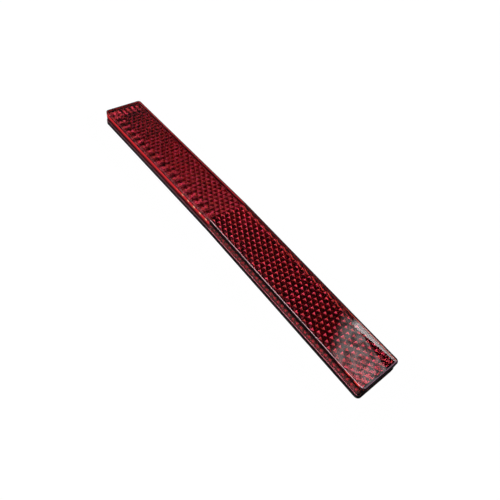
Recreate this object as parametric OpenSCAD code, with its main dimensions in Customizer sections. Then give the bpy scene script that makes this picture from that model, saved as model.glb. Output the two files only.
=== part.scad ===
// Stick-on retro-reflector strip: a long red lens with corner-cube prisms behind its face,
// welded to a flat back plate that carries two strips of foam tape under release liners.
// The bar is cranked at its crown, so both halves slope down from there at the same angle.
// +X runs from the short half to the long half and +Z out of the reflecting face.

/* [Bar] */
// Length of the short half, from the crown to its end. On this bar both halves are equal
short_half = 90; // [60:1:150]
// Length of the long half, from the crown to its end
long_half = 90; // [60:1:150]
// Width over the weld flange
width = 20; // [16:0.5:40]
// Slope of each half down from the crown, in degrees
crank = 1.3; // [0.5:0.1:4]
// Corner radius in plan, over the weld flange
corner_r = 1.8; // [1.5:0.1:4]

/* [Lens] */
// Depth of the lens, from its face to its rim
lens_depth = 5.6; // [5:0.1:10]
// Least thickness of the face, over the valleys between prisms
face_t = 1.7; // [1:0.1:2.4]
// Thickness of the skirt wall
skirt_t = 1.5; // [1.1:0.1:2.5]
// Radius of the edge round the face
edge_r = 0.5; // [0.2:0.05:0.7]
// How far the weld flange stands out from the skirt wall
flange_out = 0.25; // [0.1:0.05:0.6]
// Height of the weld flange
flange_h = 0.6; // [0.5:0.05:1.5]
// Radius of the flange's upper edge
flange_r = 0.2; // [0.05:0.05:0.3]

/* [Prisms] */
// Distance between neighbouring prism tips
prism_pitch = 2.55; // [2:0.05:3]

/* [Weld] */
// Width of the weld tongue on the back plate
tongue_w = 0.6; // [0.4:0.05:0.8]
// Height of the weld tongue
tongue_h = 0.5; // [0.3:0.05:1]
// Gap at each side of the tongue and over it
tongue_gap = 0.05; // [0.03:0.01:0.15]

/* [Back] */
// Thickness of the back plate
plate_t = 1.6; // [1:0.1:3]
// Thickness of the foam tape
tape_t = 0.8; // [0.4:0.1:2]
// Thickness of the release liner
liner_t = 0.15; // [0.1:0.01:0.3]
// Margin from the edge of the plate to the tape
tape_margin = 2; // [1:0.1:4]
// Bare length of plate from the crown to each tape
crown_gap = 4; // [3:0.5:10]
// How far a finger tab reaches from its tape towards the crown
tab_reach = 2.5; // [1:0.1:2.8]
// Width of a finger tab
tab_w = 8; // [4:0.5:11]

/* [Hidden] */
$fn = 48;

short = -1; // the half that points along -X
long = 1;
overrun = 4; // how far a half is drawn past the crown before it is cut there
function half_len(side) = side == long ? long_half : short_half;

// Levels above the back of the liner, in the frame of one half
tape_z = liner_t;
plate_z = tape_z + tape_t;
rim_z = plate_z + plate_t;
face_z = rim_z + lens_depth;

// The crown stands at this place when the lower end of the liners is at z = 0
crown_x = (short_half - long_half) * cos(crank) / 2;
crown_z = (max(short_half, long_half) - tape_margin) * sin(crank);

// A cube corner seen along its diagonal is a hexagon. Its tip and its six hexagon points lie on
// a triangular grid, at three levels that are one third of the cube's diagonal apart.
cube_edge = prism_pitch / sqrt(2);
level_step = cube_edge / sqrt(3);
grid_step = prism_pitch / sqrt(3);
row_step = prism_pitch / 2;

skirt_in = flange_out + skirt_t; // from the edge of the flange to the inside of the skirt
tongue_in = (skirt_in - tongue_w) / 2; // the tongue is centred on the rim

// Draws both halves along +X from the crown, turns each to its slope and cuts it at the crown.
// $side tells the children which half they draw.
module both_halves() {
  for (side = [short, long])
    let ($side = side)
      one_half(side)
        children();
}

module one_half(side) {
  $side = side;
  reach = half_len(side) + overrun;
  intersection() {
    mirror([side == short ? 1 : 0, 0, 0])
      rotate([0, crank, 0])
        children();
    translate([side == short ? -reach : 0, -width, -width])
      cube([reach, 2 * width, 4 * width]);
  }
}

// Stands the bar on the ends of its liners, with its middle over the origin
module stand() {
  translate([crown_x, 0, crown_z])
    children();
}

// Outline of a half, this far inside the edge of the flange
module outline(side, inset) {
  end = half_len(side) - inset;
  half_w = width / 2 - inset;
  r = max(corner_r - inset, 0.1);
  translate([-overrun, -half_w])
    square([overrun + end - r, 2 * half_w]);
  translate([-overrun, r - half_w])
    square([overrun + end, 2 * (half_w - r)]);
  for (s = [-1, 1])
    translate([end - r, s * (half_w - r)])
      circle(r);
}

module slab(side, inset, z1, z2) {
  translate([0, 0, z1])
    linear_extrude(z2 - z1)
      outline(side, inset);
}

// A wall that follows the outline, from one inset to another
module ring(side, inset1, inset2, z1, z2) {
  translate([0, 0, z1])
    linear_extrude(z2 - z1)
      difference() {
        outline(side, inset1);
        outline(side, inset2);
      }
}

// Section through the edge of the lens, from its middle to its flange at this reach
module edge_section(reach) {
  wall = reach - flange_out;
  square([reach, flange_h - flange_r]);
  square([reach - flange_r, flange_h]);
  translate([reach - flange_r, flange_h - flange_r])
    circle(flange_r);
  square([wall, lens_depth - edge_r]);
  square([wall - edge_r, lens_depth]);
  translate([wall - edge_r, lens_depth - edge_r])
    circle(edge_r);
}

// The solid block of a half: a bar, its end and a quarter turn at each corner
module lens_block(side) {
  bend_x = half_len(side) - corner_r;
  bend_y = width / 2 - corner_r;
  translate([0, 0, rim_z]) {
    translate([-overrun, 0, 0])
      rotate([90, 0, 90])
        linear_extrude(overrun + bend_x)
          for (m = [0, 1])
            mirror([m, 0])
              edge_section(width / 2);
    translate([bend_x, bend_y, 0])
      rotate([90, 0, 0])
        linear_extrude(2 * bend_y)
          edge_section(corner_r);
    for (s = [-1, 1])
      translate([bend_x, s * bend_y, 0])
        rotate([0, 0, s == 1 ? 0 : -90])
          rotate_extrude(angle = 90)
            edge_section(corner_r);
  }
}

// Level of a grid point below the valleys: 0 in a valley, 2 at a prism's tip
function level(i, j) = (i - floor(j / 2) - j + 300) % 3;

// Everything under the prisms: a block whose top is the array of cube corners
module prism_cutter(side) {
  lead = 3; // columns drawn before the crown; a column of valleys stands on the crown
  columns = ceil((half_len(side) + overrun) / grid_step) + lead;
  rows = 2 * ceil(width / 2 / row_step) + 1;
  valley_z = face_z - face_t;
  floor_z = rim_z - 1;
  function grid_xy(i, j) = [
    (i - lead + (j % 2) / 2) * grid_step,
    (j - (rows - 1) / 2) * row_step
  ];
  function at(i, j) = j * columns + i;
  tops = [for (j = [0:rows - 1], i = [0:columns - 1])
    let (xy = grid_xy(i, j)) [xy.x, xy.y, valley_z - level(i, j) * level_step]];
  border = concat(
    [for (i = [0:columns - 1]) at(i, 0)],
    [for (j = [1:rows - 1]) at(columns - 1, j)],
    [for (i = [columns - 2:-1:0]) at(i, rows - 1)],
    [for (j = [rows - 2:-1:1]) at(0, j)]
  );
  feet = [for (k = border) [tops[k].x, tops[k].y, floor_z]];
  first_foot = len(tops);
  n = len(border);
  prism_faces = [for (j = [0:rows - 2], i = [0:columns - 2])
    let (a = at(i, j), b = at(i + 1, j), c = at(i, j + 1), d = at(i + 1, j + 1))
    each j % 2 == 0 ? [[a, c, b], [b, c, d]] : [[a, c, d], [a, d, b]]];
  side_faces = [for (k = [0:n - 1])
    let (m = (k + 1) % n)
    each [
      [border[k], border[m], first_foot + m],
      [border[k], first_foot + m, first_foot + k]
    ]];
  keel = [(columns / 2 - lead) * grid_step, 0, floor_z - 1];
  keel_faces = [for (k = [0:n - 1]) [first_foot + k, first_foot + (k + 1) % n, first_foot + n]];
  polyhedron(concat(tops, feet, [keel]), concat(prism_faces, side_faces, keel_faces));
}

// Clear red moulding with the prisms inside its face
module lens() {
  color("red", 0.8)
    stand()
      both_halves()
        difference() {
          lens_block($side);
          intersection() {
            slab($side, skirt_in, rim_z - 1, face_z);
            prism_cutter($side);
          }
          ring($side, tongue_in - tongue_gap, tongue_in + tongue_w + tongue_gap,
            rim_z - 1, rim_z + tongue_h + tongue_gap);
        }
}

// Flat black moulding that closes the lens
module back_plate() {
  color("black")
    stand()
      both_halves() {
        slab($side, 0, plate_z, rim_z);
        ring($side, tongue_in, tongue_in + tongue_w, rim_z, rim_z + tongue_h);
      }
}

// Outline of the tape on a half
module tape_outline(side) {
  intersection() {
    outline(side, tape_margin);
    translate([crown_gap, -width])
      square([half_len(side), 2 * width]);
  }
}

module tape(side) {
  color("dimgray")
    stand()
      one_half(side)
        translate([0, 0, tape_z])
          linear_extrude(tape_t)
            tape_outline(side);
}

// The liner is cut to the tape, with a finger tab towards the crown
module liner(side) {
  color("gold")
    stand()
      one_half(side)
        linear_extrude(liner_t) {
          tape_outline(side);
          translate([crown_gap - tab_reach, -tab_w / 2])
            square([tab_reach + 1, tab_w]);
        }
}

lens();
back_plate();
tape(short);  // short_tape
tape(long);  // long_tape
liner(short);  // short_liner
liner(long);  // long_liner
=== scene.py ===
from functools import partial
import bpy
import numpy as np
from mathutils import Matrix, Vector


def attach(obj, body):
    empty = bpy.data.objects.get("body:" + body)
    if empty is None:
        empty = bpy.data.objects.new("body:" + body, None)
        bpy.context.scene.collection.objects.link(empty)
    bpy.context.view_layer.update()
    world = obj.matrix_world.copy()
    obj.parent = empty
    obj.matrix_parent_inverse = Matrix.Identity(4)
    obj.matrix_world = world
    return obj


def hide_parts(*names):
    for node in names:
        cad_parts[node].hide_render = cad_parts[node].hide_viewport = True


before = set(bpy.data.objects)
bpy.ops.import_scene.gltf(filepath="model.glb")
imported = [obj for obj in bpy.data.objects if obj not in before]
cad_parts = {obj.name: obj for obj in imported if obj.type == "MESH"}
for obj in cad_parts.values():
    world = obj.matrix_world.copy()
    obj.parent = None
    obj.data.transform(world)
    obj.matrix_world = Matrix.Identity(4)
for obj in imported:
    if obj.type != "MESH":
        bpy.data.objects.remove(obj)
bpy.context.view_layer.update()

print("frame loaded:", ", ".join(sorted(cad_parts)))
mm = 0.001  # sizes below are in millimetres

# the bar as it is built: two equal halves that fall away from the crown between them
bar = {
    "half": 90.0,        # from the crown to each end
    "halfWidth": 10.0,   # to the edge of the weld flange
    "flange": 0.25,      # how far the flange stands out from the lens wall
    "tilt": 1.3,         # degrees each half falls
    "tapeMargin": 2.0,   # from the edge of the plate to the tape
    "crownGap": 4.0,     # bare plate between the crown and each tape
    "gridStep": 2.55 / np.sqrt(3),  # between points of the prism grid, for tips 2.55 apart
}
tilt = np.radians(bar["tilt"])
crownHeight = (bar["half"] - bar["tapeMargin"]) * np.sin(tilt)
wallEnd = bar["half"] - bar["flange"]
wallSide = bar["halfWidth"] - bar["flange"]
prismStep = 3 * bar["gridStep"]  # the pattern of prisms repeats this often along the bar
halves = {"short": -1, "long": 1}  # which way along X each half points


# sRGB hex to linear RGBA: v / 12.92 up to 0.04045, above it ((v + 0.055) / 1.055) ^ 2.4
def toLinear(hexColour):
    srgb = np.array([int(hexColour[i:i + 2], 16) for i in (1, 3, 5)]) / 255
    linear = np.where(srgb <= 0.04045, srgb / 12.92, ((srgb + 0.055) / 1.055) ** 2.4)
    return (*linear, 1.0)


# adds one node. kind is its type, with its operation after a space. feeds are its inputs in turn, and named
# is a dictionary of others: each is the source of a link, or what the input is set to. It returns the node's
# first output, or the one that give names, or a list of those that it names
def addNode(tree, kind, *feeds, named=None, give=None, **settings):
    kind, _, operation = kind.partition(" ")
    node = tree.nodes.new("ShaderNode" + kind)
    if operation:
        node.operation = operation
    for name, value in settings.items():
        setattr(node, name, value)
    inTurn = list(zip([socket for socket in node.inputs if socket.enabled], feeds))
    byName = [(node.inputs[name], value) for name, value in (named or {}).items()]
    for socket, value in inTurn + byName:
        if isinstance(value, bpy.types.NodeSocket):
            tree.links.new(value, socket)
        else:
            socket.default_value = value
    if give is None:
        return next((socket for socket in node.outputs if socket.enabled), None)
    return node.outputs[give] if isinstance(give, str) else [node.outputs[key] for key in give]


smooth = {"interpolation_type": "SMOOTHSTEP"}  # for a Map Range that eases in and out
inColour = {"data_type": "RGBA"}               # for a Mix of two colours


# a new material, and addNode for its own tree
def newMaterial(name):
    material = bpy.data.materials.new(name)
    material.use_nodes = True
    material.node_tree.nodes.clear()
    return material, partial(addNode, material.node_tree)


cameraPose = {
    "place": (-101.738, 93.709, 153.44),
    "forward": (0.42884, -0.474105, -0.768974),
    "right": (-0.619789, -0.773694, 0.131372),
    "lens": 33.44,        # on the 36 mm sensor
    "clip": (0.01, 10),   # metres
}


def makeCamera(pose):
    forward = Vector(pose["forward"]).normalized()
    right = Vector(pose["right"])
    right = (right - right.dot(forward) * forward).normalized()
    turned = Matrix((right, right.cross(forward), -forward)).transposed().to_4x4()
    data = bpy.data.cameras.new("camera")
    data.lens = pose["lens"]
    data.clip_start, data.clip_end = pose["clip"]
    camera = bpy.data.objects.new("camera", data)
    camera.matrix_world = Matrix.Translation(Vector(pose["place"]) * mm) @ turned
    bpy.context.scene.collection.objects.link(camera)
    bpy.context.scene.camera = camera


makeCamera(cameraPose)
print("camera set")


# a point's place in the frame of its own half, in millimetres, and 1 on the long half:
# length = reach * cos(tilt) - rise * sin(tilt), height = reach * sin(tilt) + rise * cos(tilt)
def halfPlace(add):
    place = add("VectorMath SCALE", add("TexCoord", give="Object"), 1 / mm)
    along, side, up = add("SeparateXYZ", place, give=(0, 1, 2))
    rise = add("Math SUBTRACT", up, crownHeight)
    flat = add("CombineXYZ", add("Math ABSOLUTE", along), 0.0, rise)
    length = add("VectorMath DOT_PRODUCT", flat, (np.cos(tilt), 0, -np.sin(tilt)))
    height = add("VectorMath DOT_PRODUCT", flat, (np.sin(tilt), 0, np.cos(tilt)))
    return length, height, side, add("Math GREATER_THAN", along, 0.0)


# a noise of the object's own space, stretched where its three sizes in millimetres differ
def mottle(add, sizes, kind="TexNoise", **named):
    space = add("TexCoord", give="Object")
    scaled = add("VectorMath MULTIPLY", space, [1 / (size * mm) for size in sizes])
    return add(kind, named={"Vector": scaled, "Scale": 1.0, **named})


# 1 at evenly spaced places along source and 0 from this share of the spacing away, full up to 0.3 of that
def beat(add, source, spacing, share):
    phase = add("Math FRACT", add("Math DIVIDE", source, spacing))
    off = add("Math ABSOLUTE", add("Math SUBTRACT", phase, 0.5))
    return add("MapRange", off, share, share * 0.3, **smooth)


# stops are places from 0 to 1 with their colours
def fillRamp(colourRamp, stops):
    elements = colourRamp.elements
    while len(elements) < len(stops):
        elements.new(0.5)
    for element, (position, colour) in zip(elements, stops):
        element.position, element.color = position, colour


# colour and opaque share along source, from stops in millimetres up to reach
def bandOf(add, source, reach, stops):
    band = add("ValToRGB", add("Math DIVIDE", source, reach), give=("Color", "Alpha"))
    places = [(at / reach, (*toLinear(hexColour)[:3], share)) for at, hexColour, share in stops]
    fillRamp(band[0].node.color_ramp, places)
    return band


# the blend of two bands
def blendBands(add, factor, first, second):
    colour = add("Mix", factor, first[0], second[0], **inColour)
    return colour, add("Mix", factor, first[1], second[1])


# red acrylic (PMMA), injection moulded and polished: clear, deep and wet-looking. Light that the cube
#  corners send back makes parts of each prism glow. That glow is painted light, an opaque red on those parts
lensLook = {
    "tint": "#FF6072",
    "ior": 1.49,
    "paintedLightFinish": {"Roughness": 0.6, "Specular IOR Level": 0.12},
    # the prisms, with painted glow and painted shade. Each pair of heights is where the painted glow starts
    # and where it is full
    "paintedGlow": ("#FFDCB4", "#F4B8E0"),  # painted glow colours: it shifts between these from prism to prism
    "paintedPitShade": "#501020",                # painted shade: what the unlit sides of the prisms show
    "paintedPitShadeShare": 0.15,                # opaque share of the painted shade in a pit
    "facetSpan": 0.12,               # how far off a prism facet's lean may be
    "net": (5.15, 5.7),              # heights on the long half, which shows a painted red net of glow
    "dot": (5.70, 5.92),             # heights on the short half, where painted glow lies only on the tops of the valleys
    "dotLean": 0.5,                  # its painted glow starts this much higher where a facet leans towards +Y
    "leanFade": (75.0, 30.0),        # this is gone past the first distance and full up to the second
    "netGain": (0.76, 0.36),         # painted glow of the long half at the crown and at its end
    "dotGain": (1.75, 1.4),          # painted glow of the short half, up to the first distance and past the second
    "dotFade": (35.0, 70.0),
    "patch": 0.9,                    # the painted glow changes over patches this many millimetres wide:
    "patchNoise": (0.35, 0.65),      # between these values of their noise it is multiplied by these gains,
    "patchGain": (0.6, 1.3),
    "patchTint": (0.4, 0.6),         # and between these its colour shifts
    # the long half's left margin and last rows carry painted glow in separate teeth. shift and width are
    # shares of their
    #  spacing, and share is how far they glow where the net doesn't
    "teeth": {"margin": (4.2, 5.0), "shift": 0.7, "width": 0.19, "gain": 1.45, "share": 0.75},
    "lastRows": {"zone": (82.0, 84.5), "spacing": 2.55, "width": 0.36},
    "betweenTeeth": 0.4,             # how much of the net's painted glow is left between them
    # the skirt, with painted glow, painted reflection spots and painted glints
    "innerTop": 6.6,                 # a surface lower than this, and more than a skin inside the outer walls,
    "skin": 0.45,                    # is an inner one
    "wallGain": (0.5, 1.0, 0.3),     # painted glow of the long half's skirt, of the short half's painted reflection spots, and between
    "wallShare": 0.35,               # opaque share of the skirt between the spots
    "spotHeight": 5.0,
    "spotRadius": (0.75, 0.3),       # where a spot starts and where it is full
    # the painted reflection spots as the outer wall shows them. fade holds two distances and how much of the
    # share is left
    #  there, and full is the share from which they have their own colour
    "paintedOuterReflection": {"colour": "#F04450", "share": 0.7, "fade": (5.0, 45.0, 0.25, 1.0), "full": 0.2},
    # a row of warm painted glints in the skirt of the long half near the crown. half is half their height,
    # where
    #  they start and where they are full
    "paintedGlint": {"colour": "#FFF0C4", "height": 6.3, "half": (0.5, 0.25), "width": 0.2, "fade": (26.0, 18.0)},
    "leftward": 0.9,                 # a normal's Y from which a surface is the left wall
    # the outside of the skirt, as height, colour and opaque share: painted shade on the flange, a painted
    # highlight on
    #  its rounded edge, painted shade at the joint, the clear wall (dull grey-pink on the short half, a
    #  painted bright red band of light on the long half) and painted shade at the turn into the rim
    "bandReach": 10.0,
    "paintedBands": (
        ((2.9, "#0A0406", 0.9), (2.97, "#C05C6C", 0.8), (3.12, "#C05C6C", 0.8), (3.2, "#0A0406", 0.85),
         (3.4, "#0A0406", 0.75), (3.6, "#74504C", 0.4), (5.8, "#74504C", 0.3), (6.3, "#0A0406", 0.2),
         (6.9, "#0A0406", 0.95)),
        ((2.9, "#0A0406", 0.7), (2.97, "#8C5460", 0.7), (3.12, "#8C5460", 0.7), (3.2, "#200810", 0.5),
         (3.5, "#1A060A", 0.75), (4.5, "#1A060A", 0.7), (5.0, "#C02830", 0.5), (5.7, "#F03038", 0.85),
         (6.7, "#F03038", 0.85), (7.0, "#200408", 0.8), (7.5, "#200408", 0.75), (7.7, "#200408", 0.3)),
    ),
    "upright": (0.98, 0.9),          # size of a normal's Z where the bands start, and where they are full
    "paintedEndShade": (-0.1, -0.35),        # a normal's X where the painted shade on the short half's end wall starts, and is full
    "paintedEndShadeShare": 0.95,                # opaque share of that painted shade
    # the rim's painted highlight and painted shade, from the heights where they start and are full
    "top": (7.5, 7.7),
    "paintedEdgeHighlight": ("#E8BCC4", "#B03448"),  # its thin painted highlight on the short and on the long half,
    "paintedEndHighlight": "#6C5060",           # its dull painted highlight at both ends,
    "paintedEdgeShade": "#0A0406",           # and the painted shade outside it and on the end wall
    "rim": (0.22, 0.26, 0.35, 0.41),  # in from the edge, where painted shade turns to the painted highlight line and the line to clear
    "rimShare": (0.95, 0.4),         # opaque share on the short and on the long half
    "endRim": 0.45,                  # it is wider than that at the end, by one over this
    "rimCorner": 1.3,                # and turns the corner with this radius
    # near the ends the painted shade breaks into painted red glow, within a distance of the side
    "paintedGlowBreaks": {"colour": "#D02414", "zone": (74.0, 84.0), "width": 0.4, "within": 0.5},
    # the rim on the side away from the window, as distance from the edge, colour and opaque share: a painted
    # shade
    #  outline, then a painted reflection as a red line of light. It has one set for the short half towards
    #  the crown, one for that half's end and one for the long half
    "rightReach": 4.0,
    "paintedRightRim": (
        ((0.1, "#0A0406", 0.95), (0.75, "#0A0406", 0.95), (0.9, "#70141C", 0.7), (1.1, "#70141C", 0.6),
         (1.2, "#0A0406", 0.5), (1.95, "#0A0406", 0.3), (2.25, "#D83C38", 0.6), (2.5, "#D83C38", 0.6),
         (2.75, "#D83C38", 0.0)),
        ((0.1, "#0A0406", 0.95), (0.8, "#0A0406", 0.95), (0.9, "#6A1216", 0.7), (0.98, "#C84838", 0.7),
         (1.16, "#C84838", 0.7), (1.25, "#C84838", 0.0), (1.3, "#0A0406", 0.6), (1.55, "#0A0406", 0.6),
         (1.65, "#0A0406", 0.0)),
        ((0.1, "#0A0406", 0.95), (0.7, "#0A0406", 0.95), (0.85, "#B82030", 0.6), (1.15, "#B82030", 0.6),
         (1.3, "#B82030", 0.0)),
    ),
    "rightFrom": 0.02,               # opaque share from which it covers the bands
    # towards the crown that painted line ripples by a swing, from none to all of it as it comes in from the
    # edge, and
    #  its opaque share falls to a low between the strokes. It is straight from the end of its fade
    "ripple": {"swing": 0.3, "grows": (1.1, 1.8), "width": 0.5, "low": 0.25, "fade": (58.0, 70.0)},
}
outOfReach = 1000.0  # added to a distance that is not to count


# the long half's painted glow net, dimmer between the teeth: how far it glows, and its gain
def netGlow(add, place, look):
    length, height, side, _ = place
    teeth, rows = look["teeth"], look["lastRows"]
    margin = add("MapRange", side, *teeth["margin"], **smooth)
    shifted = add("Math ADD", length, teeth["shift"] * prismStep)
    tooth = add("Math MULTIPLY", beat(add, shifted, prismStep, teeth["width"]), margin)
    zone = add("MapRange", length, *rows["zone"], **smooth)
    row = add("Math MULTIPLY", beat(add, side, rows["spacing"], rows["width"]), zone)
    tooth = add("Math MAXIMUM", tooth, row)
    gain = add("MapRange", length, 0.0, bar["half"], *look["netGain"], **smooth)
    nearTeeth = add("Math MAXIMUM", margin, zone)
    dimmed = add("MapRange", nearTeeth, 0.0, 1.0, 1.0, look["betweenTeeth"], **smooth)
    gain = add("Mix", tooth, add("Math MULTIPLY", gain, dimmed), teeth["gain"])
    net = add("MapRange", height, *look["net"], **smooth)
    return add("Math MAXIMUM", net, add("Math MULTIPLY", tooth, teeth["share"])), gain


# the short half's painted glow dots, with short strokes towards the crown: how far they glow, and their gain
def dotGlow(add, place, facing, look):
    length, height, _, _ = place
    fade = add("MapRange", length, *look["leanFade"], **smooth)
    lean = add("Math MULTIPLY", facing[1], -look["dotLean"])
    leaned = add("Math MULTIPLY_ADD", lean, fade, height)
    gain = add("MapRange", length, *look["dotFade"], *look["dotGain"], **smooth)
    return add("MapRange", leaned, *look["dot"], **smooth), gain


# 1 in the painted reflection spots, where the skirt mirrors the prisms, two to each step of the prisms, and 0
# away from them
def paintedSkirtReflections(add, place, look):
    length, height, _, _ = place
    step = prismStep / 2
    phase = add("Math FRACT", add("Math DIVIDE", length, step))
    along = add("Math MULTIPLY_ADD", phase, step, -step / 2)
    up = add("Math SUBTRACT", height, look["spotHeight"])
    away = add("VectorMath LENGTH", add("CombineXYZ", along, 0.0, up))
    return add("MapRange", away, *look["spotRadius"], **smooth)


# colour and opaque share of the inner surfaces: painted glow and painted shade on the prisms, and painted
# glow and painted reflection spots on the skirt behind them
def innerLook(add, place, facing, paintedReflectionSpots, look):
    isFar = place[3]
    nearGlow, nearGain = dotGlow(add, place, facing, look)
    farGlow, farGain = netGlow(add, place, look)
    paintedGlowLevel = add("Mix", isFar, nearGlow, farGlow)
    patches = mottle(add, [look["patch"]] * 3, Detail=1.0)
    patchGain = add("MapRange", patches, *look["patchNoise"], *look["patchGain"], **smooth)
    facetGain = add("Math MULTIPLY", add("Mix", isFar, nearGain, farGain), patchGain)
    farWall, nearSpot, nearGap = look["wallGain"]
    wallGain = add("Mix", isFar, add("Mix", paintedReflectionSpots, nearGap, nearSpot), farWall)
    # a prism facet leans 54.7 degrees, so its normal's Z is 1 / sqrt(3)
    isFacet = add("Math COMPARE", add("Math ABSOLUTE", facing[2]), 1 / np.sqrt(3), look["facetSpan"])
    shift = add("MapRange", patches, *look["patchTint"], **smooth)
    red = add("Mix", shift, *(toLinear(hexColour) for hexColour in look["paintedGlow"]), **inColour)
    paintedGlow = add("VectorMath SCALE", red, add("Mix", isFacet, wallGain, facetGain))
    facetColour = add("Mix", paintedGlowLevel, toLinear(look["paintedPitShade"]), paintedGlow, **inColour)
    facetShare = add("MapRange", paintedGlowLevel, 0.0, 1.0, look["paintedPitShadeShare"], 1.0, **smooth)
    wallShare = add("MapRange", paintedReflectionSpots, 0.0, 1.0, look["wallShare"], 1.0, **smooth)
    share = add("Mix", isFacet, add("Mix", isFar, wallShare, 1.0), facetShare)
    return add("Mix", isFacet, paintedGlow, facetColour, **inColour), share


# 1 on inner surfaces and 0 on outer ones
def innerPart(add, place, look):
    length, height, side, _ = place
    low = add("Math LESS_THAN", height, look["innerTop"])
    within = add("Math LESS_THAN", add("Math ABSOLUTE", side), wallSide - look["skin"])
    before = add("Math LESS_THAN", length, wallEnd - look["skin"])
    return add("Math MULTIPLY", add("Math MULTIPLY", low, within), before)


# the rim's painted highlight line round the left side and the ends, and the painted shade outside it: colour,
# and 1 where it lies
def paintedLeftRim(add, place, fromSide, onTop, look):
    length, _, side, isFar = place
    isRight = add("Math LESS_THAN", side, 0.0)
    fromLeft = add("Math MULTIPLY_ADD", isRight, outOfReach, fromSide)
    fromEnd = add("Math MULTIPLY", add("Math SUBTRACT", wallEnd, length), look["endRim"])
    # the lines turn the corner in a curve: radius - length(radius - fromLeft, radius - fromEnd)
    radius = look["rimCorner"]
    offs = [add("Math MAXIMUM", add("Math SUBTRACT", radius, gap), 0.0) for gap in (fromLeft, fromEnd)]
    fromEdge = add("Math SUBTRACT", radius, add("VectorMath LENGTH", add("CombineXYZ", *offs)))
    black, lineStart, lineEnd, clear = look["rim"]
    light = add("Mix", isFar, *(toLinear(hexColour) for hexColour in look["paintedEdgeHighlight"]), **inColour)
    atEnd = add("Math LESS_THAN", fromEnd, fromLeft)
    light = add("Mix", atEnd, light, toLinear(look["paintedEndHighlight"]), **inColour)
    paintedGlowBreaks = look["paintedGlowBreaks"]
    strokes = beat(add, length, prismStep, paintedGlowBreaks["width"])
    strokes = add("Math MULTIPLY", strokes, add("MapRange", length, *paintedGlowBreaks["zone"], **smooth))
    strokes = add("Math MULTIPLY", strokes, add("Math LESS_THAN", fromSide, paintedGlowBreaks["within"]))
    dark = add("Mix", strokes, toLinear(look["paintedEdgeShade"]), toLinear(paintedGlowBreaks["colour"]), **inColour)
    line = add("MapRange", fromEdge, black, lineStart, **smooth)
    rim = add("Math MULTIPLY", add("MapRange", fromEdge, clear, lineEnd, **smooth), onTop)
    return add("Mix", line, dark, light, **inColour), rim


# colour and opaque share of the rim on the right side, a painted shade outline and a painted reflection line:
#  distance = fromSide + swing * sin(2 * pi * length / prismStep) where it ripples
def paintedRightRim(add, place, fromSide, onTop, look):
    length, _, side, isFar = place
    ripple = look["ripple"]
    comes, full = ripple["grows"]
    wave = add("Math SINE", add("Math MULTIPLY", length, 2 * np.pi / prismStep))
    wave = add("Math MULTIPLY", wave, add("MapRange", fromSide, comes, full, **smooth))
    rippled = add("Math MULTIPLY_ADD", wave, ripple["swing"], fromSide)
    sources = (rippled, fromSide, fromSide)
    crown, end, far = (bandOf(add, source, look["rightReach"], stops)
                       for source, stops in zip(sources, look["paintedRightRim"]))
    strokes = beat(add, length, prismStep, ripple["width"])
    strokes = add("MapRange", strokes, 0.0, 1.0, ripple["low"], 1.0, **smooth)
    strokes = add("Math MAXIMUM", strokes, add("Math LESS_THAN", fromSide, full))
    crown = crown[0], add("Math MULTIPLY", crown[1], strokes)
    straight = add("MapRange", length, *ripple["fade"], **smooth)
    colour, share = blendBands(add, isFar, blendBands(add, straight, crown, end), far)
    isRight = add("Math LESS_THAN", side, 0.0)
    return colour, add("Math MULTIPLY", add("Math MULTIPLY", share, onTop), isRight)


# colour and opaque share of the outside of the skirt: painted highlights and painted shade
def paintedSkirtBands(add, place, facing, outer, look):
    _, height, _, isFar = place
    paintedBands = (bandOf(add, height, look["bandReach"], stops) for stops in look["paintedBands"])
    colour, share = blendBands(add, isFar, *paintedBands)
    upright = add("MapRange", add("Math ABSOLUTE", facing[2]), *look["upright"], **smooth)
    share = add("Math MULTIPLY", share, upright)
    isNear = add("Math SUBTRACT", 1.0, isFar)
    paintedEndShade = add("Math MULTIPLY", add("MapRange", facing[0], *look["paintedEndShade"], **smooth), isNear)
    share = add("Math MAXIMUM", share, add("Math MULTIPLY", paintedEndShade, look["paintedEndShadeShare"]))
    colour = add("Mix", paintedEndShade, colour, toLinear(look["paintedEdgeShade"]), **inColour)
    return colour, add("Math MULTIPLY", share, outer)


# 1 in the warm painted glints in the left wall of the long half
def paintedGlints(add, place, leftWall, look):
    length, height, _, isFar = place
    paintedGlint = look["paintedGlint"]
    off = add("Math ABSOLUTE", add("Math SUBTRACT", height, paintedGlint["height"]))
    level = add("MapRange", off, *paintedGlint["half"], **smooth)
    level = add("Math MULTIPLY", level, beat(add, length, prismStep, paintedGlint["width"]))
    level = add("Math MULTIPLY", level, add("MapRange", length, *paintedGlint["fade"], **smooth))
    return add("Math MULTIPLY", add("Math MULTIPLY", level, isFar), leftWall)


# opaque share of the painted reflection spots in the left wall of the short half
def paintedOuterReflections(add, place, paintedReflectionSpots, leftWall, look):
    length, _, _, isFar = place
    spot = look["paintedOuterReflection"]
    isNear = add("Math SUBTRACT", 1.0, isFar)
    level = add("Math MULTIPLY", add("Math MULTIPLY", paintedReflectionSpots, spot["share"]), isNear)
    level = add("Math MULTIPLY", level, add("MapRange", length, *spot["fade"], **smooth))
    return add("Math MULTIPLY", level, leftWall)


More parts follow.
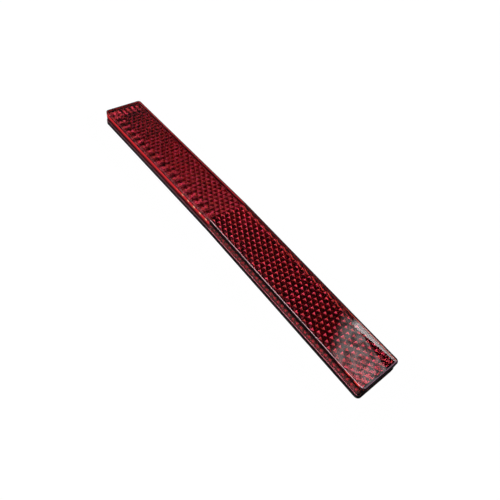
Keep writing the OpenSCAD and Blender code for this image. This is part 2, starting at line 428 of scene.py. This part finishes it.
def redAcrylic(look):
    material, add = newMaterial("redAcrylic")
    place = halfPlace(add)
    _, height, side, isFar = place
    facing = add("SeparateXYZ", add("TexCoord", give="Normal"), give=(0, 1, 2))
    paintedReflectionSpots = paintedSkirtReflections(add, place, look)
    inner = innerPart(add, place, look)
    outer = add("Math SUBTRACT", 1.0, inner)
    fromSide = add("Math SUBTRACT", wallSide, add("Math ABSOLUTE", side))
    onTop = add("MapRange", height, *look["top"], **smooth)
    leftWall = add("Math MULTIPLY", add("Math GREATER_THAN", facing[1], look["leftward"]), outer)
    # the outer surfaces: the painted bands, covered by the right rim's painted shade and reflection, the left
    # rim's painted highlight and shade, the painted glints and the painted reflection spots
    rightColour, rightShare = paintedRightRim(add, place, fromSide, onTop, look)
    rimColour, rim = paintedLeftRim(add, place, fromSide, onTop, look)
    rimShare = add("Math MULTIPLY", rim, add("Mix", isFar, *look["rimShare"]))
    paintedGlint = paintedGlints(add, place, leftWall, look)
    spot = paintedOuterReflections(add, place, paintedReflectionSpots, leftWall, look)
    covers = (
        (add("Math GREATER_THAN", rightShare, look["rightFrom"]), rightColour, rightShare),
        (rim, rimColour, add("Math MULTIPLY", rimShare, outer)),
        (paintedGlint, toLinear(look["paintedGlint"]["colour"]), paintedGlint),
        (add("MapRange", spot, 0.0, look["paintedOuterReflection"]["full"], **smooth),
         toLinear(look["paintedOuterReflection"]["colour"]), spot),
    )
    colour, share = paintedSkirtBands(add, place, facing, outer, look)
    for where, coverColour, coverShare in covers:
        colour = add("Mix", where, colour, coverColour, **inColour)
        share = add("Math MAXIMUM", share, coverShare)
    innerColour, innerShare = innerLook(add, place, facing, paintedReflectionSpots, look)
    colour = add("Mix", inner, colour, innerColour, **inColour)
    share = add("Math MAXIMUM", add("Math MULTIPLY", inner, innerShare), share)
    clear = add("BsdfPrincipled", named={"Base Color": toLinear(look["tint"]), "Roughness": 0.0,
                                         "IOR": look["ior"], "Transmission Weight": 1.0})
    # the opaque shader carries the painted glow, highlights, reflections and shade. share is how much of it
    # covers the clear acrylic
    paintedGlow = add("BsdfPrincipled", named={"Base Color": colour, "IOR": look["ior"], **look["paintedLightFinish"]})
    add("OutputMaterial", add("MixShader", share, clear, paintedGlow))
    return material


# black ABS, injection moulded in a spark-eroded mould: a satin black whose fine grain breaks up the gloss
plateLook = {
    "colours": ("#040405", "#0E0E10"),
    "grain": 0.25,          # the real grain is about 0.05 mm, drawn coarser so that it shows
    "depth": 0.012,
    "flow": (14.0, 1.2, 1.2),  # faint flow lines run along the bar
    "contrast": (0.35, 0.65),  # values of their noise that give the two colours, and the two roughnesses
    "roughness": (0.34, 0.52),
    "grainPart": 0.4,       # share of the grain in the roughness, beside the flow lines
    "finish": {"IOR": 1.54},
}


def blackAbs(look):
    material, add = newMaterial("blackAbs")
    grain = mottle(add, [look["grain"]] * 3)
    flow = mottle(add, look["flow"])
    tone = add("MapRange", flow, *look["contrast"], **smooth)
    colour = add("Mix", tone, *(toLinear(hexColour) for hexColour in look["colours"]), **inColour)
    both = add("Mix", look["grainPart"], flow, grain)
    rough = add("MapRange", both, *look["contrast"], *look["roughness"], **smooth)
    bump = add("Bump", named={"Height": grain, "Strength": 1.0, "Distance": look["depth"] * mm})
    shader = add("BsdfPrincipled", named={"Base Color": colour, "Roughness": rough, "Normal": bump,
                                          **look["finish"]})
    add("OutputMaterial", shader)
    return material


# closed-cell acrylic foam: dark grey and dead matt, with open cut cells whose pits carry painted shade
foamLook = {
    "colours": ("#141415", "#3A3A3C"),
    "cell": 0.35,           # the real cells are 0.15 to 0.3 mm
    "cellWall": (0.15, 0.6),  # distance from a cell's middle, in cells, where the painted shade of its pit gives way to the wall, and where the wall is full
    "depth": 0.09,
    "cloud": 5.0,
    "cloudGain": (0.2, 0.8, 0.6, 1.0),  # values of its noise, and the shades they give
    "finish": {"Roughness": 0.92, "IOR": 1.48, "Sheen Weight": 0.15, "Sheen Roughness": 0.5},
}


def cutFoam(look):
    material, add = newMaterial("cutFoam")
    cells = mottle(add, [look["cell"]] * 3, kind="TexVoronoi")
    # painted shade: each cut cell is darker towards its middle
    walls = add("MapRange", cells, *look["cellWall"], **smooth)
    cloud = add("MapRange", mottle(add, [look["cloud"]] * 3), *look["cloudGain"], **smooth)
    shade = add("Math MULTIPLY", walls, cloud)
    colour = add("Mix", shade, *(toLinear(hexColour) for hexColour in look["colours"]), **inColour)
    bump = add("Bump", named={"Height": cells, "Strength": 1.0, "Distance": look["depth"] * mm})
    shader = add("BsdfPrincipled", named={"Base Color": colour, "Normal": bump, **look["finish"]})
    add("OutputMaterial", shader)
    return material


# siliconised kraft paper: honey brown with long fibres, slightly waxy, its silicone a thin dull coat
linerLook = {
    "colours": ("#B48A4C", "#D2AC6E"),
    "contrast": (0.36, 0.62),    # values of the noise that give them
    "fibre": (2.2, 0.12, 0.12),  # the real fibres are 0.03 mm wide, drawn coarser so that they show
    "cloud": 7.0,
    "fibrePart": 0.6,            # share of the fibres in the colour, beside the cloud
    "speck": 0.5,
    "speckColour": "#7A5628",
    "speckShare": (0.68, 0.76, 0.0, 0.5),  # values of its noise, and how much of its colour they give
    "depth": 0.02,
    "roughness": (0.3, 0.7, 0.42, 0.6),    # values of the fibres' noise, and the roughness there
    "finish": {"IOR": 1.5, "Coat Weight": 0.25, "Coat Roughness": 0.3},
}


def kraftLiner(look):
    material, add = newMaterial("kraftLiner")
    fibre = mottle(add, look["fibre"], Detail=3.0)
    cloud = mottle(add, [look["cloud"]] * 3)
    tone = add("MapRange", add("Mix", look["fibrePart"], cloud, fibre), *look["contrast"], **smooth)
    colour = add("Mix", tone, *(toLinear(hexColour) for hexColour in look["colours"]), **inColour)
    speck = add("MapRange", mottle(add, [look["speck"]] * 3), *look["speckShare"], **smooth)
    colour = add("Mix", speck, colour, toLinear(look["speckColour"]), **inColour)
    rough = add("MapRange", fibre, *look["roughness"], **smooth)
    bump = add("Bump", named={"Height": fibre, "Strength": 1.0, "Distance": look["depth"] * mm})
    shader = add("BsdfPrincipled", named={"Base Color": colour, "Roughness": rough, "Normal": bump,
                                          **look["finish"]})
    add("OutputMaterial", shader)
    return material


# a closed piece from rings of points in the frame of one half, one ring to a station along it:
# x = side * (along * cos(tilt) + up * sin(tilt)), z = crownHeight - along * sin(tilt) + up * cos(tilt)
def addPiece(name, side, rings, material):
    stations, points = rings.shape[:2]
    along, across, up = rings.reshape(-1, 3).T
    x = side * (along * np.cos(tilt) + up * np.sin(tilt))
    z = crownHeight - along * np.sin(tilt) + up * np.cos(tilt)
    place = np.stack([x, across, z], 1) * mm
    ends = np.stack([place[:points].mean(0), place[-points:].mean(0)])
    # four-sided faces between neighbouring rings, and a fan of triangles over each end
    here = np.arange(points)
    there = np.roll(here, -1)
    row = np.arange(stations - 1)[:, None] * points
    quads = np.stack([row + here, row + there, row + there + points, row + here + points], -1)
    lastRing = (stations - 1) * points
    first, last = np.full(points, stations * points), np.full(points, stations * points + 1)
    caps = np.concatenate([np.stack([first, there, here], 1),
                           np.stack([last, here + lastRing, there + lastRing], 1)])
    faces = quads.reshape(-1, 4).tolist() + caps.tolist()
    if side < 0:
        faces = [face[::-1] for face in faces]
    mesh = bpy.data.meshes.new(name)
    mesh.from_pydata(np.concatenate([place, ends]).tolist(), [], faces)
    mesh.materials.append(material)
    mesh.validate()
    piece = bpy.data.objects.new(name, mesh)
    bpy.context.scene.collection.objects.link(piece)
    return piece


# the outline that a tape and its liner share, in the frame of a half
strip = {
    "start": bar["crownGap"],
    "end": bar["half"] - bar["tapeMargin"],
    "half": bar["halfWidth"] - bar["tapeMargin"],
    "corner": 0.5,
    "cornerPoints": 6,
    "acrossPoints": 25,
}


# half the width of a strip with rounded corners, at distances along it:
# half - corner + sqrt(corner ^ 2 - into ^ 2), where into is how far the distance reaches into a corner
def stripHalf(along, start, end, half, corner):
    into = np.clip(corner - np.minimum(along - start, end - along), 0, corner)
    return half - corner + np.sqrt(np.maximum(corner ** 2 - into ** 2, 0.0))


# how far into a corner its stations lie, as shares of its radius: 1 - cos(angle) over a quarter turn
def cornerTurn(points):
    return 1 - np.cos(np.linspace(0, np.pi / 2, points))


# strips of foam tape, die cut: sides drawn in a little between the faces and ragged from the cut cells
foamTape = {
    **strip,
    "bottom": 0.16, "top": 0.94,
    "waist": 0.1,           # how far the middle of the sides is drawn in
    "ragged": 0.035,
    "step": 0.4,
    "sidePoints": 7,
}


# each ring runs over the bottom, up one side, over the top and down the other. A side lies in from the
# strip's outline by waist * sin(pi * level), and by a random depth up to ragged
def tapeRings(tape, seed):
    spread = np.random.default_rng(seed)
    corner = tape["start"] + tape["corner"] * cornerTurn(tape["cornerPoints"])
    first = tape["start"] + tape["corner"] + tape["step"]
    inner = np.arange(first, tape["end"] - tape["corner"], tape["step"])
    along = np.concatenate([corner, inner, tape["start"] + tape["end"] - corner[::-1]])
    across = np.linspace(-1, 1, tape["acrossPoints"])
    up = np.linspace(0, 1, tape["sidePoints"] + 2)[1:-1]
    drawn = tape["waist"] * np.sin(np.pi * up)
    level, wall = np.zeros_like(across), np.ones_like(up)
    ways = np.concatenate([across, wall, across[::-1], -wall])
    levels = np.concatenate([level, up, level + 1, up[::-1]])
    insets = np.concatenate([level, drawn, level, drawn[::-1]])
    rough = spread.uniform(0, tape["ragged"], (len(along), len(ways))) * (insets > 0)
    half = stripHalf(along, tape["start"], tape["end"], tape["half"], tape["corner"])[:, None]
    rings = np.empty((len(along), len(ways), 3))
    rings[..., 0] = along[:, None]
    rings[..., 1] = ways * (half - insets - rough)
    rings[..., 2] = tape["bottom"] + levels * (tape["top"] - tape["bottom"])
    return rings


# release liners: cut to the tape, with a finger tab towards the crown that curls down a little
liner = {
    **strip,
    "bottom": 0.0, "top": 0.15,
    "tab": 2.5, "tabHalf": 4.0, "tabCorner": 0.8,
    "tabFlat": 1.0,         # its straight part starts this far from its tip,
    "tabRoot": 0.01,        # and stops this far before the strip
    "curl": 0.25,
    "step": 0.5,            # from a corner to the first station past it
    "bodyPoints": 80,
}


# each ring runs over the bottom and back over the top. A point of the tab drops by
# curl * ((start - along) / tab) ^ 2
def linerRings(sheet):
    turn = cornerTurn(sheet["cornerPoints"])
    start, end = sheet["start"], sheet["end"]
    tip = start - sheet["tab"]
    tabFlat = np.linspace(tip + sheet["tabFlat"], start - sheet["tabRoot"], sheet["cornerPoints"])
    tabAlong = np.concatenate([tip + sheet["tabCorner"] * turn, tabFlat])
    corner = start + sheet["corner"] * turn
    middleEnd = end - sheet["corner"] - sheet["step"]
    middle = np.linspace(corner[-1] + sheet["step"], middleEnd, sheet["bodyPoints"])
    bodyAlong = np.concatenate([corner, middle, start + end - corner[::-1]])
    along = np.concatenate([tabAlong, bodyAlong])
    # the tab's own end is far off, so that only its tip is rounded
    half = np.concatenate([stripHalf(tabAlong, tip, end, sheet["tabHalf"], sheet["tabCorner"]),
                           stripHalf(bodyAlong, start, end, sheet["half"], sheet["corner"])])
    across = np.linspace(-1, 1, sheet["acrossPoints"])
    ways = np.concatenate([across, across[::-1]])
    levels = np.repeat([sheet["bottom"], sheet["top"]], sheet["acrossPoints"])
    drop = sheet["curl"] * np.clip((start - along) / sheet["tab"], 0, 1) ** 2
    rings = np.empty((len(along), len(ways), 3))
    rings[..., 0] = along[:, None]
    rings[..., 1] = ways * half[:, None]
    rings[..., 2] = levels - drop[:, None]
    return rings


foam, paper = cutFoam(foamLook), kraftLiner(linerLook)
for seed, (half, side) in enumerate(halves.items()):
    for rings, material, kind, slot in ((tapeRings(foamTape, seed), foam, "tape", "foam_tape"),
                                        (linerRings(liner), paper, "liner", "liner_paper")):
        piece = addPiece(half + "_" + kind + "_soft", side, rings, material)
        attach(piece, "root")
        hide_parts(half + "_" + kind)
print("tapes and liners made")

finishes = {"lens": redAcrylic(lensLook), "back_plate": blackAbs(plateLook)}
for name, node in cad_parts.items():
    node.data.materials.clear()
    node.data.materials.append(finishes.get(name, foam if name.endswith("tape") else paper))
print("materials made")

# a dark room with pale lower walls and soft boxes of light, all painted on the world
studio = {
    "background": 1.0,
    "backgroundTop": (0.16, 0.08),  # sine of the elevation where gloss and clear plastic stop seeing it
    "walls": ((0.0, 0.7), (0.3, 0.25), (0.6, 0.02)),  # sine of the elevation, and the brightness there
    # half sizes and soft edges are tangents, across and upward. turn is in degrees, and lean slants the
    # upward sides. patch is a cloudy light, and mirrorOnly one that clear plastic doesn't pass on
    "boxes": {
        "window": {"aim": (0.3, 0.72, 0.6), "half": (0.5, 0.42), "edge": (0.15, 0.15), "strength": 2.5},
        "overhead": {"aim": (0.15, 0.25, 0.95), "half": (0.45, 0.32), "edge": (0.1, 0.1), "strength": 7.4},
        "roofLight": {"aim": (0.03, -0.486, 0.872), "half": (0.116, 0.0785), "edge": (0.045, 0.003),
                      "strength": 1.85, "turn": -11.0, "lean": -0.7, "patch": 0.016, "mirrorOnly": True},
        "roofSlit": {"aim": (0.08, -0.583, 0.808), "half": (0.075, 0.0215), "edge": (0.02, 0.002),
                     "strength": 8.0, "mirrorOnly": True},
        "lowWindow": {"aim": (0.15, -0.95, 0.3), "half": (0.2, 0.15), "edge": (0.06, 0.06),
                      "strength": 3.0},
    },
    "patchGain": (0.38, 0.62, 0.5, 1.5),  # values of a patch's noise, and the gain of its light there
}


# how much of a soft-edged rectangle of light lies in a direction. Its place there is
# off = (way . axis) / (way . middle) for each axis, and it fades where abs(off) nears the half size
def softbox(add, way, box, patchGain):
    middle = Vector(box["aim"]).normalized()
    turn = Matrix.Rotation(np.radians(box.get("turn", 0.0)), 3, middle)
    across = turn @ middle.cross(Vector((0, 0, 1))).normalized()
    ahead = add("VectorMath DOT_PRODUCT", way, middle)
    level = add("Math MULTIPLY", add("Math GREATER_THAN", ahead, 0.0), box["strength"])
    offs = [add("Math DIVIDE", add("VectorMath DOT_PRODUCT", way, axis), ahead)
            for axis in (across, across.cross(middle))]
    offs[0] = add("Math MULTIPLY_ADD", offs[1], box.get("lean", 0.0), offs[0])
    for off, half, edge in zip(offs, box["half"], box["edge"]):
        inside = add("MapRange", add("Math ABSOLUTE", off), half, half - edge, **smooth)
        level = add("Math MULTIPLY", level, inside)
    if "mirrorOnly" in box:
        through = add("LightPath", give="Is Transmission Ray")
        level = add("Math MULTIPLY", level, add("Math SUBTRACT", 1.0, through))
    if "patch" in box:
        cloud = add("TexNoise", named={"Vector": way, "Scale": 1 / box["patch"], "Detail": 1.0})
        level = add("Math MULTIPLY", level, add("MapRange", cloud, *patchGain, **smooth))
    return level


def makeWorld(look):
    world = bpy.data.worlds.new("studio")
    bpy.context.scene.world = world
    world.use_nodes = True
    world.node_tree.nodes.clear()
    add = partial(addNode, world.node_tree)
    way = add("TexCoord", give="Generated")
    up = add("SeparateXYZ", way, give="Z")
    light = add("ValToRGB", up)
    fillRamp(light.node.color_ramp, [(sine, (bright, bright, bright, 1)) for sine, bright in look["walls"]])
    for box in look["boxes"].values():
        light = add("Math ADD", light, softbox(add, way, box, look["patchGain"]))
    # eyes see a white background past the floor. Gloss and clear plastic see it too, but only low down
    eye, gloss, through = add("LightPath", give=("Is Camera Ray", "Is Glossy Ray", "Is Transmission Ray"))
    low = add("MapRange", up, *look["backgroundTop"], **smooth)
    seen = add("Math MAXIMUM", add("Math MULTIPLY", add("Math MAXIMUM", gloss, through), low), eye)
    add("OutputWorld", add("Background", (1, 1, 1, 1), add("Mix", seen, light, look["background"])))


makeWorld(studio)

# a pale floor: eyes, gloss and clear plastic see it white, and close to the bar it carries a painted shadow
floorLook = {
    "size": 4000.0,
    "diffuse": 0.3,
    "leftInPaintedShadow": 0.1,         # how much of that is left close to the bar, in the painted shadow
    "whiteShare": 0.94,
    "white": 1.06,
    "shadow": (6.0, 28.0),  # from the bar's edge, a painted shadow: dark in gloss up to the first, white past the second
}


def makeFloor(look):
    bpy.ops.mesh.primitive_plane_add(size=look["size"] * mm)
    floor = bpy.context.object
    floor.name = "floor"
    material, add = newMaterial("paleFloor")
    place = add("VectorMath SCALE", add("TexCoord", give="Object"), 1 / mm)
    x, y = add("SeparateXYZ", place, give=(0, 1))
    # away = length(max(abs(x) - half, 0), max(abs(y) - halfWidth, 0))
    beyond = [add("Math SUBTRACT", add("Math ABSOLUTE", at), half)
              for at, half in ((x, bar["half"]), (y, bar["halfWidth"]))]
    away = add("CombineXYZ", *(add("Math MAXIMUM", off, 0.0) for off in beyond))
    away = add("VectorMath LENGTH", away)
    # painted shadow: clear is 0 close to the bar and 1 past the second shadow distance
    clear = add("MapRange", away, *look["shadow"], **smooth)
    eye, gloss, through = add("LightPath", give=("Is Camera Ray", "Is Glossy Ray", "Is Transmission Ray"))
    seen = add("Math MAXIMUM", add("Math MULTIPLY", add("Math MAXIMUM", gloss, through), clear), eye)
    paintedShadowDiffuse = look["diffuse"] * look["leftInPaintedShadow"]
    paint = add("BsdfDiffuse", add("MapRange", clear, 0.0, 1.0, paintedShadowDiffuse, look["diffuse"], **smooth))
    white = add("Emission", (1, 1, 1, 1), look["white"])
    share = add("Math MULTIPLY", seen, look["whiteShare"])
    add("OutputMaterial", add("MixShader", share, paint, white))
    floor.data.materials.append(material)


makeFloor(floorLook)
print("studio set")

bpy.context.scene.view_settings.view_transform = "Standard"
